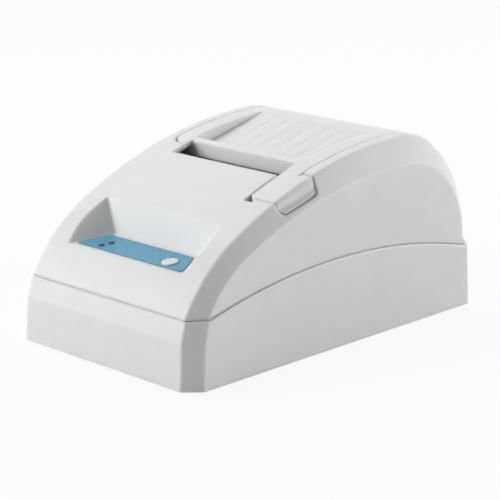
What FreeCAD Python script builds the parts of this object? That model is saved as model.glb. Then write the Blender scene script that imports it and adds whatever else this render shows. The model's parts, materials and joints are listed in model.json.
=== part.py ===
"""Desktop thermal receipt printer: arched casing, ribbed paper lid, print mechanism, boards and ports.

Millimetres. X runs to the right of someone facing the front, Y to the back, Z up.
The origin is on the table, under the middle of the base.
"""

import FreeCAD, Part
import math
import os

V = FreeCAD.Vector

# Casing
width = 118.0
length = 195.0
foot_height = 1.5
wall = 2.2
corner = 7.3
block_height = 21.0
band_height = 9.5
front_draft = 1.3
band_lean = 2.8
side_draft = 1.2
seam_rise = 11.2
seam_inset = 12.0
ledge = 0.8
shadow_gap = 0.25

# Arched top: the outline over the middle, then the crease where the shoulder meets the side
nose_angle = 60.4
nose_radius = 76.5
nose_sweep = 31.5
crown_radius = 232.4
shoulder_radius = 33.0
shoulder_sweep = 35.5
back_radius = 65.0
tail_angle = 84.0
crease_nose_radius = 51.2
crease_nose_sweep = 34.3
crease_crown_radius = 231.9
crease_shoulder_radius = 45.0
crease_back_radius = 42.0
shoulder_reach = 6.6
crease_setback = 8.4

# Paper way and lid
paper_width = 58.0
roll_diameter = 55.0
slot_from_back = 117.4
slot_width = 13.4
beam_thickness = 3.9
scoop_length = 45.0
scoop_depth = 5.3
rib_count = 7
rib_pitch = 8.76
rib_height = 0.32
lid_skin = 2.4
lid_gap = 0.4
lid_margin = 9.0
lid_corner = 6.5
tab_length = 24.0
tab_drop = 7.3
tab_slant = 1.7
tab_lean = 0.2
tab_lip = 0.8
tab_round = 2.5
grip_radius = 3.0
grip_depth = 0.7
grip_rise = 2.4
pad_step = 0.35
pad_inset = 4.0
pad_setback = 2.4
lid_opening = 100.0

# Print mechanism
platen_radius = 5.25
shaft_radius = 2.0
running_gap = 0.04
gear_module = 0.5
platen_teeth = 20
idler_teeth = 24
pinion_teeth = 12
gear_width = 4.0
motor_radius = 7.5
motor_length = 11.4
plate_thickness = 1.8

# Control recess
recess_from_front = 34.65
recess_half_width = 26.9
recess_floor_height = 50.1
recess_tilt = 7.8
recess_flare = 0.665
recess_lean = 0.32
recess_side_lean = 0.927
rim_round = 4.0
overlay_margin = 2.6
button_radius = 3.9
button_rise = 0.6
button_travel = 0.8
lens_radius = 1.5

# Ports in the back
bay_depth = 4.0
bay_half_width = 42.0
board_thickness = 1.6
rocker_throw = 10.0

# Common clearances
free_gap = 0.5
loose_gap = 0.3
screw_radius = 1.4

NODES = {}


def box(x0, x1, y0, y1, z0, z1):
    return Part.makeBox(x1 - x0, y1 - y0, z1 - z0, V(x0, y0, z0))


def rod_x(radius, x0, x1, y, z):
    return Part.makeCylinder(radius, x1 - x0, V(x0, y, z), V(1, 0, 0))


def rod_y(radius, y0, y1, x, z):
    return Part.makeCylinder(radius, y1 - y0, V(x, y0, z), V(0, 1, 0))


def rod_z(radius, z0, z1, x, y):
    return Part.makeCylinder(radius, z1 - z0, V(x, y, z0), V(0, 0, 1))


def loop(points):
    return Part.makePolygon(points + [points[0]])


def slab_x(outline, x0, x1):
    """A straight-edged outline in (y, z), thick along X."""
    face = Part.Face(loop([V(x0, y, z) for y, z in outline]))
    return face.extrude(V(x1 - x0, 0, 0))


def slab_y(outline, y0, y1):
    face = Part.Face(loop([V(x, y0, z) for x, z in outline]))
    return face.extrude(V(0, y1 - y0, 0))


def slab_z(outline, z0, z1):
    face = Part.Face(loop([V(x, y, z0) for x, y in outline]))
    return face.extrude(V(0, 0, z1 - z0))


def mirrored(shape):
    return shape.mirror(V(0, 0, 0), V(1, 0, 0))


def pair(shape):
    return [shape, mirrored(shape)]


def joined(*shapes):
    whole = shapes[0]
    for shape in shapes[1:]:
        whole = whole.fuse(shape)
    return whole.removeSplitter()


def without(shape, *tools):
    for tool in tools:
        shape = shape.cut(tool)
    return shape


def softened(shape, radius, wanted):
    """Round the edges that the test picks; the shape stays as it was if that can't be done."""
    edges = [e for e in shape.Edges if wanted(e)]
    if not edges:
        return shape
    try:
        rounded = shape.makeFillet(radius, edges)
    except Exception:
        return shape
    if rounded.isValid() and rounded.Volume > 0:
        return rounded
    return shape


def keep(name, shape):
    solids = shape.Solids
    if not solids:
        raise ValueError(name + " is empty")
    NODES[name] = solids[0] if len(solids) == 1 else Part.makeCompound(solids)


def plane_dir(angle):
    return math.cos(math.radians(angle)), math.sin(math.radians(angle))


# Levels and faces of the casing
bottom = foot_height
crease_z = bottom + block_height
seam_z = crease_z + band_height
crown_z = seam_z + seam_rise
front = -length / 2
back = length / 2
front_top = front + front_draft + band_lean
back_top = back - front_draft
half_width = width / 2
side_half = half_width - side_draft - ledge
arch_half = side_half - shoulder_reach


def arch_arcs(start, end_y, heading, arcs):
    """Tangent arcs, all curving down, stretched alike to end at end_y: (cy, cz, radius, from, to)."""
    turn = heading
    span = 0.0
    for radius, sweep in arcs:
        span += radius * (math.sin(math.radians(turn)) - math.sin(math.radians(turn - sweep)))
        turn -= sweep
    stretch = (end_y - start[0]) / span
    found = []
    y, z = start
    turn = heading
    for radius, sweep in arcs:
        size = radius * stretch
        along, up = plane_dir(turn)
        cy = y + size * up
        cz = z - size * along
        along, up = plane_dir(turn - sweep)
        found.append((cy, cz, size, turn, turn - sweep))
        y = cy - size * up
        z = cz + size * along
        turn -= sweep
    return found


def arc_point(arc, angle, inset=0.0):
    cy, cz, size, _, _ = arc
    along, up = plane_dir(angle)
    return cy - (size - inset) * up, cz + (size - inset) * along


nose_end = nose_angle - nose_sweep
arch_start = (front_top + 0.3, seam_z + 1.0)
arch_end = back_top - ledge - 0.5
ARCH = arch_arcs(arch_start, arch_end, nose_angle, [
    (nose_radius, nose_sweep),
    (crown_radius, nose_end),
    (shoulder_radius, shoulder_sweep),
    (back_radius, tail_angle - shoulder_sweep),
])
crease_end = nose_angle - crease_nose_sweep
crease_start = (arch_start[0] + crease_setback, arch_start[1] + 0.8)
CREASE = arch_arcs(crease_start, arch_end - crease_setback, nose_angle, [
    (crease_nose_radius, crease_nose_sweep),
    (crease_crown_radius, crease_end),
    (crease_shoulder_radius, shoulder_sweep),
    (crease_back_radius, tail_angle - shoulder_sweep),
])


def arcs_height(arcs, y, inset=0.0):
    """Height of a side outline at y."""
    for arc in arcs:
        first = arc_point(arc, arc[3], inset)[0]
        last = arc_point(arc, arc[4], inset)[0]
        if first - 1e-6 <= y <= last + 1e-6:
            return arc[1] + math.sqrt((arc[2] - inset) ** 2 - (arc[0] - y) ** 2)
    raise ValueError("nothing above this y")


def arch_wire(arcs, x, inset):
    """The closed side outline at one x: a tangent foot, the arcs, a tangent tail and the underside."""
    foot = 5.0 + inset
    edges = []
    first = arc_point(arcs[0], arcs[0][3], inset)
    along, up = plane_dir(arcs[0][3])
    toe = (first[0] - foot * along, first[1] - foot * up)
    edges.append(Part.makeLine(V(x, *toe), V(x, *first)))
    for arc in arcs:
        _, _, _, a0, a1 = arc
        p0 = arc_point(arc, a0, inset)
        pm = arc_point(arc, (a0 + a1) / 2, inset)
        p1 = arc_point(arc, a1, inset)
        edges.append(Part.Arc(V(x, *p0), V(x, *pm), V(x, *p1)).toShape())
    last = arc_point(arcs[-1], arcs[-1][4], inset)
    along, up = plane_dir(arcs[-1][4])
    reach = (last[1] - toe[1]) / -up
    heel = (last[0] + reach * along, last[1] + reach * up)
    edges.append(Part.makeLine(V(x, *last), V(x, *heel)))
    edges.append(Part.makeLine(V(x, *heel), V(x, *toe)))
    return Part.Wire(edges)


def arch_body(inset):
    """The solid arched form, drawn in by inset on every side."""
    xa = arch_half - inset / 2
    xb = side_half - inset
    wires = [
        arch_wire(CREASE, -xb, inset),
        arch_wire(ARCH, -xa, inset),
        arch_wire(ARCH, xa, inset),
        arch_wire(CREASE, xb, inset),
    ]
    return Part.makeLoft(wires, True, True)


def arch_height(y):
    """Height of the arch over the middle at y."""
    return arcs_height(ARCH, y)


def above_seam(lift):
    """Everything above the casing's seam, which runs level at both ends and arches along the sides."""
    far = length
    z = seam_z + lift
    p0 = V(-far, -far, z)
    p1 = V(-far, front + seam_inset, z)
    pm = V(-far, 0, z + seam_rise)
    p2 = V(-far, back - seam_inset, z)
    p3 = V(-far, far, z)
    p4 = V(-far, far, z + far)
    p5 = V(-far, -far, z + far)
    edges = [
        Part.makeLine(p0, p1),
        Part.Arc(p1, pm, p2).toShape(),
        Part.makeLine(p2, p3),
        Part.makeLine(p3, p4),
        Part.makeLine(p4, p5),
        Part.makeLine(p5, p0),
    ]
    return Part.Face(Part.Wire(edges)).extrude(V(2 * far, 0, 0))


# Base tray
def plan_wire(y0, y1, half, cut, z):
    points = [
        V(-half + cut, y0, z), V(half - cut, y0, z), V(half, y0 + cut, z), V(half, y1 - cut, z),
        V(half - cut, y1, z), V(-half + cut, y1, z), V(-half, y1 - cut, z), V(-half, y0 + cut, z),
    ]
    return loop(points)


def tub(inset, z0):
    """The base's outer form (inset 0) or its hollow, from z0 up past the seam's crown."""
    top = crown_z + 2.0
    share = block_height / (top - bottom)
    lean = band_lean / band_height * (top - crease_z)
    cut = corner - inset * (2 - math.sqrt(2))
    tall = (z0 - bottom) / block_height
    low = plan_wire(front + front_draft * tall + inset, back - front_draft * share * tall - inset,
                    half_width - side_draft * share * tall - inset, cut, z0)
    mid = plan_wire(front + front_draft + inset, back - front_draft * share - inset,
                    half_width - side_draft * share - inset, cut, crease_z)
    high = plan_wire(front + front_draft + lean + inset, back - front_draft - inset,
                     half_width - side_draft - inset, cut, top)
    return Part.makeLoft([low, mid, high], True, True)


floor_z = bottom + wall
seam_above = above_seam(0.0)
tub_outer = tub(0.0, bottom)
tub_outer = softened(tub_outer, 0.9, lambda e: e.BoundBox.ZLength > block_height / 3
                     or (abs(e.CenterOfMass.z - crease_z) < 0.01 and e.CenterOfMass.y < front / 2))
tub_outer = softened(tub_outer, 0.7, lambda e: e.BoundBox.ZMax < bottom + 0.01)
tub_body = tub_outer.cut(seam_above)
tub_body = softened(tub_body, 0.45, lambda e: e.BoundBox.ZMin > seam_z - 0.01 and e.BoundBox.YLength
                    + e.BoundBox.XLength > corner / 2)
tray = tub_body.cut(tub(wall, floor_z))

# Places of the screws, posts and feet
post_radius = 4.0
case_x = arch_half - 3.0
case_front_y = front + 34.0
case_back_y = back - 27.0
CASE_SPOTS = [(case_x, case_front_y), (case_x, case_back_y)]
foot_radius = 6.0
FOOT_SPOTS = [(half_width - 16.0, front + 17.0), (half_width - 16.0, back - 17.0)]
foot_seat = 0.8
case_meet_z = seam_z
head_radius = 2.6
head_height = 1.8
case_seat_z = bottom + 6.0

# Hinge of the lid, on the back of the arch
barrel_radius = 5.4
hinge_angle = -56.0
pin_radius = 1.5
hinge_y, hinge_z = arc_point(ARCH[3], hinge_angle, barrel_radius)
hinge_along = plane_dir(hinge_angle)
hinge_out = (-hinge_along[1], hinge_along[0])

# Widths of the paper way, from the paper outwards
roller_half = paper_width / 2
bucket_half = roller_half + 1.0
cheek_in = bucket_half
cheek_out = cheek_in + plate_thickness
frame_in = cheek_out + 0.8
frame_out = frame_in + plate_thickness
slot_half = frame_out - 0.2
tab_in = slot_half + lid_gap
scoop_half = tab_in + 0.8
lid_half = scoop_half + lid_margin
gear_in = frame_out + 0.6
gear_out = gear_in + gear_width

slot_front = back - slot_from_back
beam_front = slot_front + slot_width
beam_back = beam_front + beam_thickness
scoop_end = beam_back + scoop_length
scoop_low = arch_height(beam_back) - scoop_depth
scoop_slope = (arch_height(scoop_end) - scoop_low) / (scoop_end - beam_back)


def scoop_floor(y):
    return scoop_low + scoop_slope * (y - beam_back)


# The platen hangs under the beam; the gears lead down and forward from it to the motor
platen_y = beam_front - 1.5
platen_z = scoop_floor(beam_front) - lid_skin - platen_radius - 1.0
reach_pi = gear_module * (platen_teeth + idler_teeth) / 2
reach_im = gear_module * (idler_teeth + pinion_teeth) / 2
idler_angle = -130.0
motor_angle = -60.0
idler_way = plane_dir(idler_angle)
motor_way = plane_dir(motor_angle)
idler_y = platen_y + reach_pi * idler_way[0]
idler_z = platen_z + reach_pi * idler_way[1]
motor_y = idler_y + reach_im * motor_way[0]
motor_z = idler_z + reach_im * motor_way[1]
gear_tip = gear_module * (platen_teeth / 2 + 0.85)
lid_front = platen_y - gear_tip - 1.0

# Finger tab of the lid, on the right: its outline in side view, and the pocket around it
tab_back = lid_front
tab_front = tab_back - tab_length
high_z = arch_height(scoop_end) + 20.0


def tab_form(grow, drop, x0, shift=0.0):
    """The tab seen from the side, from x0 outwards; its back edge leans back so that it lifts clear."""
    z_front = arch_height(tab_front) - tab_drop + tab_slant - drop
    z_back = arch_height(tab_back) - tab_drop - drop
    outline = [
        (tab_front - grow, z_front),
        (tab_back - tab_lean * (arch_height(tab_back) - z_back) + grow, z_back),
        (tab_back + tab_lean * (high_z - arch_height(tab_back)) + grow, high_z),
        (tab_front - grow, high_z),
    ]
    form = slab_x([(y - shift, z) for y, z in outline], x0, half_width + 1.0)
    return softened(form, tab_round + grow, lambda e: e.BoundBox.XLength > 1.0
                    and e.BoundBox.ZMax < z_back + 0.01)


outer = arch_body(0.0)
outer = softened(outer, 1.2, lambda e: abs(abs(e.BoundBox.XMin) - arch_half) < 0.01
                 and e.BoundBox.XLength < 0.01 and e.BoundBox.ZMax > seam_z + 3.0
                 and e.BoundBox.YLength < length * 0.7)
inner = arch_body(wall)

# Upper shell
tab_floor = lid_skin + 0.6
tab_backing = 1.6
shell = outer.cut(inner)
block = arch_body(0.2).cut(arch_body(tab_floor + tab_backing))
block_in = tab_in - lid_gap - tab_backing
block_span = tab_form(lid_gap + tab_backing, tab_lip + tab_backing, block_in)
recess_back = front + recess_from_front
floor_along, floor_fall = plane_dir(recess_tilt)
nose_y = recess_back - ARCH[0][0]
nose_z = recess_floor_height - ARCH[0][1]
nose_across = nose_y * floor_along + nose_z * floor_fall
floor_reach = nose_across + math.sqrt(nose_across ** 2 + ARCH[0][2] ** 2 - nose_y ** 2 - nose_z ** 2)
lip_y = recess_back - floor_reach * floor_along


def recess_half(y, z):
    """Half the width of the recess at a place on its side walls."""
    rise = z - recess_floor_height
    return recess_half_width + recess_side_lean * rise + recess_flare * (recess_back - y)


def floor_level(y, down):
    """Height of the recess floor at y, or of a level that lies down below it."""
    return recess_floor_height - (down + (recess_back - y) * floor_fall) / floor_along


def recess_form(grow):
    """The hollow of the control recess, or that hollow with its walls; the floor falls to the front."""
    forward = front - 10.0
    lean_grow = grow * math.hypot(1.0, recess_lean)
    side_grow = grow * math.sqrt(1 + recess_flare ** 2 + recess_side_lean ** 2)

    def section(y, z, z_front):
        near = recess_half(y, z) + side_grow
        wide = recess_half(forward, z_front) + side_grow
        return loop([V(-near, y, z), V(near, y, z), V(wide, forward, z_front), V(-wide, forward, z_front)])

    low_y = recess_back + lean_grow - recess_lean * grow
    high_y = recess_back + lean_grow + recess_lean * (high_z - recess_floor_height)
    low = section(low_y, floor_level(low_y, grow), floor_level(forward, grow))
    return Part.makeLoft([low, section(high_y, high_z, high_z)], True, True)


recess = recess_form(0.0)
recess_walls = recess_form(wall).common(arch_body(0.2))
shell = joined(shell, recess_walls).fuse(block.common(block_span))
for x, y in CASE_SPOTS:
    post = rod_z(post_radius, case_meet_z, high_z, x, y).common(arch_body(wall / 2))
    for side in pair(post):
        shell = shell.fuse(side)
shell = shell.removeSplitter()

shell = shell.cut(recess)
pocket = tab_form(lid_gap, tab_lip, tab_in - lid_gap).cut(arch_body(tab_floor))
shell = shell.cut(pocket)

# The part of the casing ahead of the hinge, in side view
far = length * 2


def hinge_side(shift):
    """Everything ahead of the hinge: a plane through the pin, square to the arch, moved back by shift."""
    py = hinge_y + shift * hinge_along[0]
    pz = hinge_z + shift * hinge_along[1]
    a = (py + far * hinge_out[0], pz + far * hinge_out[1])
    b = (py - far * hinge_out[0], pz - far * hinge_out[1])
    ahead = (-far * hinge_along[0], -far * hinge_along[1])
    outline = [a, (a[0] + ahead[0], a[1] + ahead[1]), (b[0] + ahead[0], b[1] + ahead[1]), b]
    return slab_x(outline, -far, far)


open_half = lid_half + lid_gap
opening_low = platen_z - 20.0
plain_front = platen_y - shaft_radius - free_gap


def lid_plan(gap, corner_radius):
    """The lid or its opening from above: further forward over the gears, a rounded corner on the left."""
    left = box(-lid_half - gap, 0.0, plain_front - gap, back, opening_low, high_z)
    left = softened(left, corner_radius, lambda e: e.BoundBox.ZLength > 1.0
                    and e.BoundBox.XMax < 0 and e.BoundBox.YMax < 0)
    right = box(0.0, lid_half + gap, lid_front - gap, back, opening_low, high_z)
    return left.fuse(right)


opening = lid_plan(lid_gap, lid_corner - 1.5).common(hinge_side(0.0))
shell = shell.cut(opening)
shell = shell.cut(rod_x(barrel_radius + lid_gap, -open_half, open_half, hinge_y, hinge_z))


def beside_hinge(along, out):
    return (hinge_y + along * hinge_along[0] + out * hinge_out[0],
            hinge_z + along * hinge_along[1] + out * hinge_out[1])


def open_face(out):
    """How far behind the pin the outside of the fully open lid stands, at a height over the pin."""
    turned = math.radians(lid_opening)
    ahead = (out - barrel_radius * math.cos(turned)) / math.sin(turned)
    return barrel_radius * math.sin(turned) - ahead * math.cos(turned) + lid_gap


room_low = barrel_radius * math.cos(math.radians(lid_opening))
room_high = barrel_radius + wall
shell = shell.cut(slab_x([
    beside_hinge(0.0, room_low), beside_hinge(open_face(room_low), room_low),
    beside_hinge(open_face(room_high), room_high), beside_hinge(0.0, room_high),
], -open_half, open_half))
shell = shell.cut(box(-slot_half, slot_half, slot_front, beam_front + 1.0, opening_low, high_z))

# Three-cornered hole at the inner front corner of the tab
hole_back = 2.2
hole_front = 2.8
hole_side = 5.4
corner_hole = slab_z([
    (tab_in - lid_gap, tab_front + hole_back), (tab_in - lid_gap, tab_front - hole_front),
    (tab_in + hole_side, tab_front - hole_front),
], opening_low, high_z)
shell = shell.cut(corner_hole)

# Hinge lugs stand on the back wall at the ends of the barrel
lug_out = lid_half - 0.4
lug_in = lug_out - 4.0
lug_radius = barrel_radius - 1.2
lug_length = 16.0
lug_rise = 0.5
lug_leg = slab_x([
    beside_hinge(0.0, lug_rise), beside_hinge(open_face(lug_rise), lug_rise),
    beside_hinge(open_face(room_high), room_high), beside_hinge(lug_length, room_high),
    beside_hinge(lug_length, 0.0), beside_hinge(0.0, -lug_radius),
], lug_in, lug_out)
lug = joined(rod_x(lug_radius, lug_in, lug_out, hinge_y, hinge_z), lug_leg).common(outer)
lug = lug.cut(rod_x(pin_radius, lug_in - 1.0, lug_out + 1.0, hinge_y, hinge_z))
for side in pair(lug):
    shell = shell.fuse(side)
shell = shell.removeSplitter()

# The shell ends at the seam, its outer face a little higher to leave a shadow line
lip_body = arch_body(0.9)
raised = shell.cut(lip_body).common(above_seam(shadow_gap))
shell = joined(shell.common(lip_body).common(seam_above), raised)
pilot = screw_radius
for x, y in CASE_SPOTS:
    for side in pair(rod_z(pilot, case_meet_z - 1.0, case_meet_z + 12.0, x, y)):
        shell = shell.cut(side)


def on_rim(e):
    """Edges where the back and sides of the recess meet the arch."""
    if max(abs(e.BoundBox.XMin), abs(e.BoundBox.XMax)) > arch_half - 1.0 or e.CenterOfMass.y > slot_front:
        return False
    if e.CenterOfMass.y < lip_y + 0.5:
        return False
    return all(abs(v.Z - arch_height(v.Y)) < 0.05 for v in e.Vertexes)


shell = softened(shell, rim_round, on_rim)

# Paper lid: skin of the arch, ribbed scoop behind the beam, finger tab and hinge barrel
skin = outer.cut(arch_body(lid_skin))
lid_span = lid_plan(0.0, lid_corner)
lid_span = lid_span.cut(box(-tab_in, tab_in, front, beam_front, opening_low, high_z))
tab = tab_form(0.0, 0.0, tab_in).fuse(box(tab_in, lid_half, tab_front, tab_back, opening_low, high_z))
lid_span = lid_span.fuse(tab).cut(corner_hole)
lid = skin.common(lid_span).common(hinge_side(0.0))


def shoulder_x(y, z):
    """How far out the casing reaches at y and z."""
    return outer.common(Part.makeLine(V(0, y, z), V(half_width, y, z))).BoundBox.XMax


# The tab's raised pad, and the groove over its lower edge that a finger lifts by
pad = tab_form(0.0, tab_lip, tab_in + pad_inset, pad_setback)
pad = pad.fuse(box(tab_in + pad_inset, lid_half, tab_front - 1.0, back, opening_low, high_z))
pad_rim = tab.cut(pad).cut(arch_body(pad_step))
lid = lid.cut(pad_rim)
grip_front = arch_height(tab_front) - tab_drop + tab_slant + grip_rise
grip_back = arch_height(tab_back) - tab_drop + grip_rise
grip_from = V(shoulder_x(tab_front, grip_front), tab_front, grip_front)
grip_to = V(shoulder_x(tab_back, grip_back), tab_back, grip_back)
grip_way = grip_to - grip_from
shoulder_fall = (arch_height(tab_back) - arcs_height(CREASE, tab_back)) / shoulder_reach
outwards = V(shoulder_fall, 0, 1.0)
outwards.normalize()
grip_start = grip_from - grip_way * 0.5 + outwards * (grip_radius - grip_depth)
lid = lid.cut(Part.makeCylinder(grip_radius, grip_way.Length * 2, grip_start, grip_way))
scoop_under = slab_x([
    (beam_front, scoop_floor(beam_front) - lid_skin), (scoop_end, scoop_floor(scoop_end) - lid_skin),
    (scoop_end, high_z), (beam_front, high_z),
], -scoop_half - lid_skin, scoop_half + lid_skin).common(outer)
scoop_stop = scoop_end + 8.0
scoop_cut = slab_x([
    (beam_back, scoop_floor(beam_back)), (scoop_stop, scoop_floor(scoop_stop)),
    (scoop_stop, high_z), (beam_back, high_z),
], -scoop_half, scoop_half)
rib_half = rib_pitch / 2 - 0.25
rib_radius = (rib_half ** 2 + rib_height ** 2) / (2 * rib_height)
scoop_turn = math.atan(scoop_slope)
rib_along = V(0, math.cos(scoop_turn), math.sin(scoop_turn))
rib_sink = rib_radius - rib_height
for k in range(int(rib_count)):
    x = (k - (int(rib_count) - 1) / 2) * rib_pitch
    low = V(x, beam_back + rib_sink * math.sin(scoop_turn), scoop_low - rib_sink * math.cos(scoop_turn))
    rib = Part.makeCylinder(rib_radius, scoop_length + 40.0, low - rib_along * 20.0, rib_along)
    scoop_cut = scoop_cut.cut(rib)
lid = joined(lid, scoop_under).cut(scoop_cut)
barrel_half = lug_in - loose_gap
lid = joined(lid, rod_x(barrel_radius, -barrel_half, barrel_half, hinge_y, hinge_z))
for side in pair(rod_x(barrel_radius + lid_gap, barrel_half, lid_half + 1.0, hinge_y, hinge_z)):
    lid = lid.cut(side)
lid = lid.cut(rod_x(pin_radius + running_gap, -barrel_half - 1.0, barrel_half + 1.0, hinge_y, hinge_z))
lid = softened(lid, 0.9, lambda e: e.BoundBox.XLength > scoop_half and e.BoundBox.YLength < 0.1
               and beam_front - 0.1 < e.CenterOfMass.y < beam_back + 0.1
               and abs(e.CenterOfMass.z - arch_height(e.CenterOfMass.y)) < 0.2)
keep("paper_lid", lid)
keep("hinge_pin", rod_x(pin_radius, -lug_out, lug_out, hinge_y, hinge_z))

# Platen under the lid
bush_radius = 3.4
bush_flange = 0.5
keep("platen_shaft", rod_x(shaft_radius, -frame_out - 0.6, gear_out + 0.5, platen_y, platen_z))
roller = rod_x(platen_radius, -roller_half, roller_half, platen_y, platen_z)
keep("platen_roller", roller.cut(rod_x(shaft_radius, -roller_half, roller_half, platen_y, platen_z)))
bush_end = slot_half - loose_gap
bush = joined(rod_x(bush_radius, cheek_in, bush_end, platen_y, platen_z),
              rod_x(bush_radius + 0.9, cheek_out, cheek_out + bush_flange, platen_y, platen_z))
bush = bush.cut(rod_x(shaft_radius + running_gap, cheek_in, bush_end, platen_y, platen_z))
keep("platen_bushes", Part.makeCompound(pair(bush)))


def lid_under(y):
    return scoop_floor(y) - lid_skin


web = 1.6
web_front = beam_front + 3.0
web_back = beam_front + 18.0
cheek = slab_x([
    (platen_y - 3.0, platen_z + 2.0), (beam_front, lid_under(beam_front)), (web_back, lid_under(web_back)),
    (web_back, lid_under(web_back) - web), (platen_y + 7.0, platen_z + 1.0),
    (platen_y + 2.0, platen_z - 4.0),
], cheek_in, cheek_out)
cheek = joined(cheek, rod_x(bush_radius + 1.6, cheek_in, cheek_out, platen_y, platen_z))
cheek = cheek.cut(rod_x(bush_radius, cheek_in, cheek_out, platen_y, platen_z))
bracket_web = slab_x([
    (web_front, lid_under(web_front)), (web_back, lid_under(web_back)),
    (web_back, lid_under(web_back) - web), (web_front, lid_under(web_front) - web),
], -cheek_out, cheek_out)
keep("platen_bracket", joined(bracket_web, *pair(cheek)))

# Gears: straight flanks between a few points of the involute
press_angle = math.radians(25.0)
backlash = 0.12


def flank_half_angle(teeth, radius):
    pitch_radius = gear_module * teeth / 2
    base_radius = pitch_radius * math.cos(press_angle)
    here = math.acos(min(1.0, base_radius / max(radius, base_radius)))
    width_angle = math.pi / (2 * teeth) - backlash / (2 * pitch_radius)
    return width_angle + (math.tan(press_angle) - press_angle) - (math.tan(here) - here)


def gear(teeth, tooth_at, y, z, bore):
    """A spur gear with one tooth centred on the direction tooth_at, in degrees from +Y towards +Z."""
    pitch_radius = gear_module * teeth / 2
    root = pitch_radius - 1.1 * gear_module
    tip = pitch_radius + 0.85 * gear_module
    levels = [root, pitch_radius - 0.4 * gear_module, pitch_radius + 0.2 * gear_module, tip]
    points = []
    for k in range(int(teeth)):
        centre = math.radians(tooth_at) + 2 * math.pi * k / teeth
        for side, radii in ((-1, levels), (1, list(reversed(levels)))):
            for radius in radii:
                angle = centre + side * flank_half_angle(teeth, radius)
                points.append((y + radius * math.cos(angle), z + radius * math.sin(angle)))
    body = slab_x(points, gear_in, gear_out)
    return body.cut(rod_x(bore, gear_in - 1.0, gear_out + 1.0, y, z))


def mate_gap(angle, tooth_at, teeth, mate_teeth):
    """Direction of the mate's gap that takes the tooth nearest the line of centres."""
    return angle + 180.0 + (angle - tooth_at) * teeth / mate_teeth


idler_gap = mate_gap(idler_angle, idler_angle, platen_teeth, idler_teeth)
idler_tooth = idler_gap + 180.0 / idler_teeth
steps = round((motor_angle - idler_tooth) / (360.0 / idler_teeth))
near_tooth = idler_tooth + steps * 360.0 / idler_teeth
pinion_gap = mate_gap(motor_angle, near_tooth, idler_teeth, pinion_teeth)
pinion_tooth = pinion_gap + 180.0 / pinion_teeth
axle_radius = 1.2
motor_shaft_radius = 1.0
keep("platen_gear", gear(platen_teeth, idler_angle, platen_y, platen_z, shaft_radius))
keep("idler_gear", gear(idler_teeth, idler_tooth, idler_y, idler_z, axle_radius + running_gap))
keep("motor_pinion", gear(pinion_teeth, pinion_tooth, motor_y, motor_z, motor_shaft_radius))

# Mechanism chassis on the rails of the bucket
frame_front = slot_front - 7.0
frame_back = platen_y + 7.5
rail_top = motor_z - motor_radius - 0.9
frame_top = arch_height(frame_front) - tab_floor - tab_backing - 0.8
side_plate = slab_x([
    (frame_front, rail_top), (frame_back, rail_top), (frame_back, frame_top), (frame_front, frame_top),
], frame_in, frame_out)
swing = (platen_z - hinge_z, hinge_y - platen_y)
swing_size = math.hypot(*swing)
lift = (swing[0] / swing_size, swing[1] / swing_size)
notch = bush_radius + loose_gap
notch_cut = slab_x([
    (platen_y - notch * lift[1], platen_z + notch * lift[0]),
    (platen_y + notch * lift[1], platen_z - notch * lift[0]),
    (platen_y + notch * lift[1] + 20.0 * lift[0], platen_z - notch * lift[0] + 20.0 * lift[1]),
    (platen_y - notch * lift[1] + 20.0 * lift[0], platen_z + notch * lift[0] + 20.0 * lift[1]),
], frame_in, frame_out)
notch_cut = notch_cut.fuse(rod_x(notch, frame_in, frame_out, platen_y, platen_z))
side_plate = side_plate.cut(notch_cut)
tab_reach = 9.0
rail_screw_x = frame_out + 5.0
rail_front_y = frame_front + 6.0
foot_top = rail_top + web
frame_foot = box(frame_out, frame_out + tab_reach, frame_front + 1.0, frame_front + 11.0, rail_top, foot_top)
side_plate = joined(side_plate, frame_foot)
side_plate = side_plate.cut(rod_z(screw_radius, rail_top - 1.0, foot_top + 1.0, rail_screw_x, rail_front_y))
head_face = platen_y - platen_radius - loose_gap
strip_thickness = 1.0
sink_thickness = 3.2
sink_back = head_face - strip_thickness
sink_front = sink_back - sink_thickness
sink_half = frame_in - 0.6
sink_low = motor_z + motor_radius + 1.0
sink_high = platen_z + 5.5
pivot_y = (sink_back + sink_front) / 2
pivot_z = sink_low + 1.6
pivot_radius = 0.8
cross_wall = box(-frame_in, frame_in, frame_front, frame_front + plate_thickness, sink_low, frame_top)
cross_foot = box(-frame_in, frame_in, frame_front, frame_front + 6.0, rail_top, rail_top + web)
chassis = joined(cross_wall, cross_foot, *pair(side_plate))
chassis = chassis.cut(rod_x(pivot_radius, -frame_out - 1.0, frame_out + 1.0, pivot_y, pivot_z))
chassis = chassis.cut(rod_x(motor_shaft_radius + 0.6, frame_in - 1.0, frame_out + 1.0, motor_y, motor_z))
chassis = chassis.cut(rod_x(axle_radius, frame_in - 1.0, frame_out + 1.0, idler_y, idler_z))

# Print head on its pivot, sprung towards the platen
head_sink = box(-sink_half, sink_half, sink_front, sink_back, sink_low, sink_high)
head_sink = head_sink.cut(rod_x(pivot_radius + running_gap, -sink_half, sink_half, pivot_y, pivot_z))
keep("head_heatsink", head_sink)
keep("head_strip", box(-roller_half, roller_half, sink_back, head_face, platen_z - 4.5, platen_z + 4.0))
keep("head_pivot_pin", rod_x(pivot_radius, -frame_out, frame_out, pivot_y, pivot_z))
spring_radius = 1.8
spring_wire = 0.28
spring_turns = 4
spring_z = platen_z - 1.0
spring_x = roller_half * 0.6
spring_start = frame_front + plate_thickness
spring_length = sink_front - spring_start


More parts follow.
